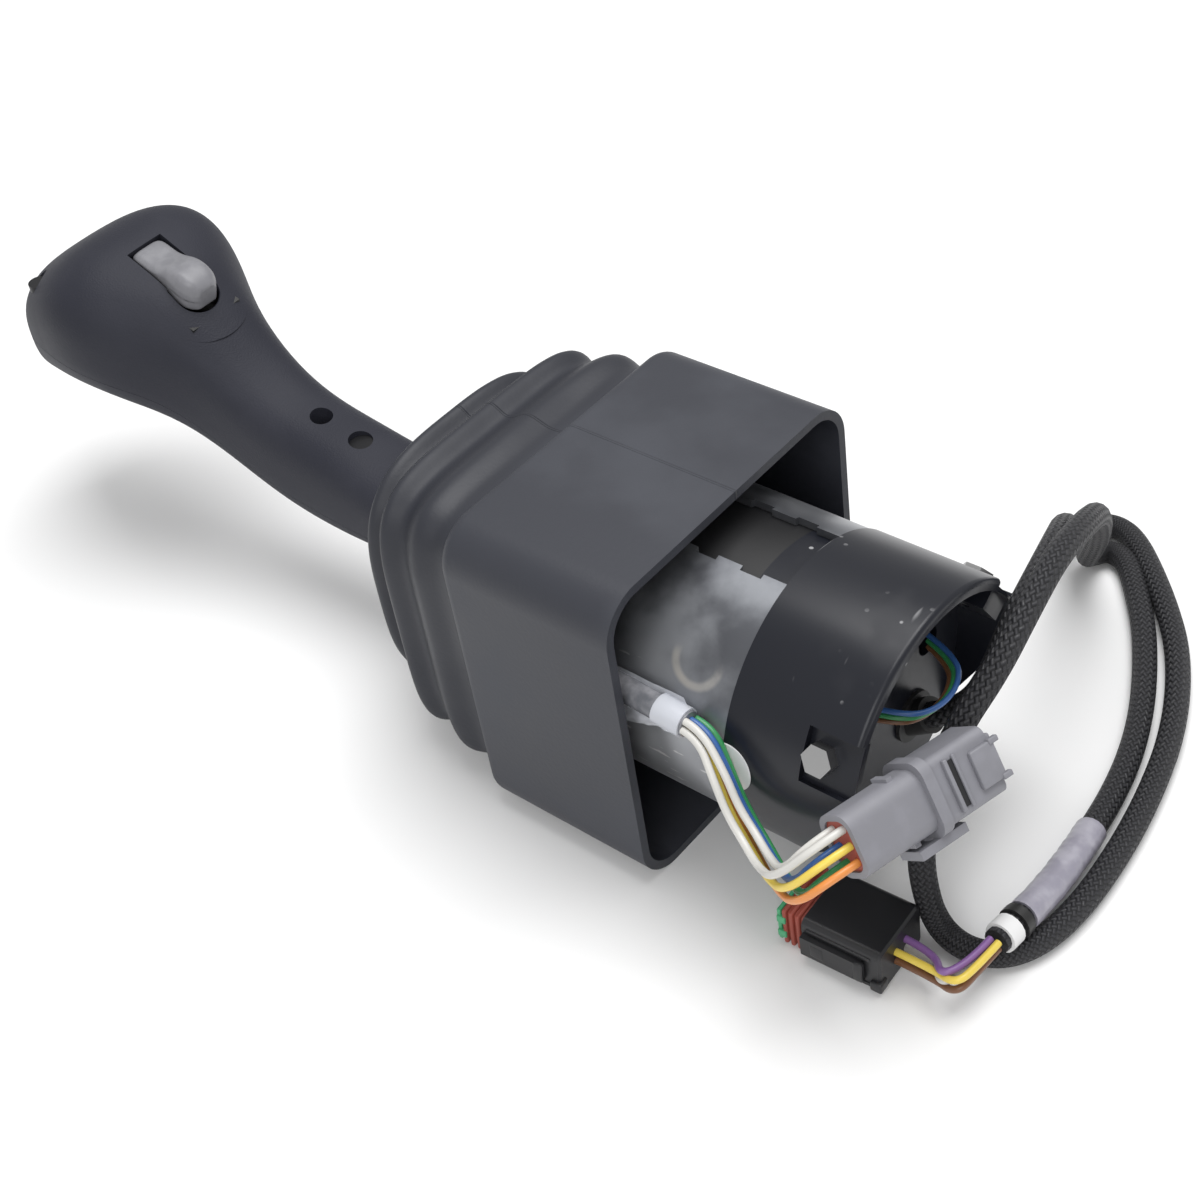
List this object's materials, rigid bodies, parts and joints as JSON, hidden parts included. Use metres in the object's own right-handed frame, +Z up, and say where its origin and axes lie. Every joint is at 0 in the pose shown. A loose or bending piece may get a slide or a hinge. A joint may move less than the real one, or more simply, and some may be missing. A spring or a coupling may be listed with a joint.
{
  "type": "industrial joystick",
  "caption": "Two-axis industrial joystick: contoured grip with rocker, square rubber boot, slotted tube housing, braided lead and sealed plugs.",
  "frame": {"origin": "centre of the joystick's length on the bench, under the stick's axis, which lies 47 mm above it", "axes": "+X along the stick's axis from the grip to the end cap, +Z up, towards the rocker, +Y to the side the leads lie on"},
  "size_m": [0.3616, 0.2084, 0.1024],
  "materials": {
    "black_screws": "blackened steel",
    "board_green": "solder mask",
    "boot_rubber": "matte moulded rubber",
    "braid_black": "braided sleeving",
    "bush_brass": "plain bearing bronze",
    "cap_plastic": "semi-gloss black",
    "chip_black": "moulded package",
    "connector_black": "satin moulding",
    "connector_grey": "satin moulding",
    "flange_metal": "black painted plate",
    "gimbal_steel": "turned steel",
    "gland_rubber": "soft grommet",
    "grip_plastic": "fine spark texture",
    "holder_plastic": "black nylon",
    "housing_steel": "mottled bare metal",
    "label_white": "blank label",
    "liner_plastic": "matte black",
    "magnet_metal": "nickel plated",
    "rocker_grey": "light grey, satin",
    "seal_red": "silicone seal",
    "shrink_black": "black shrink tube",
    "shrink_clear": "clear shrink over grey wires",
    "sleeve_clear": "translucent sleeve",
    "spring_steel": "oil hardened wire",
    "switch_black": "black moulding",
    "tape_grey": "translucent tape",
    "wedge_green": "wedge lock",
    "wire_blue": "thin insulation",
    "wire_brown": "thin insulation",
    "wire_green": "thin insulation",
    "wire_orange": "thin insulation",
    "wire_purple": "thin insulation",
    "wire_white": "thin insulation",
    "wire_yellow": "thin insulation",
    "yoke_metal": "machined casting",
    "zinc_screws": "zinc plated"
  },
  "bodies": {
    "base": {"black_plug": "connector_black", "black_seal": "seal_red", "board_carrier": "holder_plastic", "board_parts": "chip_black", "board_screws": "zinc_screws", "boot_bellows": "boot_rubber", "boot_skirt": "boot_rubber", "braided_cable": "braid_black", "cable_gland": "gland_rubber", "cap_screws": "zinc_screws", "cap_wire_blue": "wire_blue", "cap_wire_brown": "wire_brown", "cap_wire_green": "wire_green", "clear_sleeve": "sleeve_clear", "connector_clip": "connector_black", "end_cap": "cap_plastic", "flange_screws": "zinc_screws", "gimbal_yoke": "yoke_metal", "green_wedge": "wedge_green", "grey_plug": "connector_grey", "grey_receptacle": "connector_grey", "grey_seal": "seal_red", "housing_tube": "housing_steel", "inner_liner": "liner_plastic", "label_band": "label_white", "mounting_flange": "flange_metal", "pitch_spring": "spring_steel", "plug_wire_brown": "wire_brown", "plug_wire_purple": "wire_purple", "plug_wire_white": "wire_white", "plug_wire_yellow": "wire_yellow", "sensor_board": "board_green", "shrink_sleeve": "shrink_clear", "shrink_tube": "shrink_black", "tape_flag": "tape_grey", "wire_blue": "wire_blue", "wire_green": "wire_green", "wire_orange": "wire_orange", "wire_white_1": "wire_white", "wire_white_2": "wire_white", "wire_yellow": "wire_yellow", "yoke_bushes": "bush_brass"},
    "gimbal": {"gimbal_ring": "gimbal_steel", "gimbal_pins": "gimbal_steel", "ring_bushes": "bush_brass", "roll_spring": "spring_steel"},
    "lever": {"lever_shaft": "gimbal_steel", "lever_pins": "gimbal_steel", "magnet_holder": "holder_plastic", "magnet": "magnet_metal", "boot_ring": "holder_plastic", "grip_front": "grip_plastic", "grip_rear": "grip_plastic", "grip_screws": "black_screws", "switch_body": "switch_black", "rocker_pin": "gimbal_steel"},
    "rocker": {"rocker_button": "rocker_grey"}
  },
  "joints": [
    {"name": "pitch", "type": "hinge", "parent": "base", "child": "gimbal", "pos_m": [0.07475, 0, 0.047], "axis": [0, 1, 0], "range_deg": [-18, 18], "stiffness_Nm_per_rad": 8, "deforming": ["boot_bellows"]},
    {"name": "roll", "type": "hinge", "parent": "gimbal", "child": "lever", "pos_m": [0.07475, 0, 0.047], "axis": [0, 0, 1], "range_deg": [-18, 18], "stiffness_Nm_per_rad": 8},
    {"name": "rocker_tilt", "type": "hinge", "parent": "lever", "child": "rocker", "pos_m": [-0.09455, 0, 0.08919], "axis": [0, 1, 0], "range_deg": [-6, 6], "stiffness_Nm_per_rad": 0.4}
  ]
}
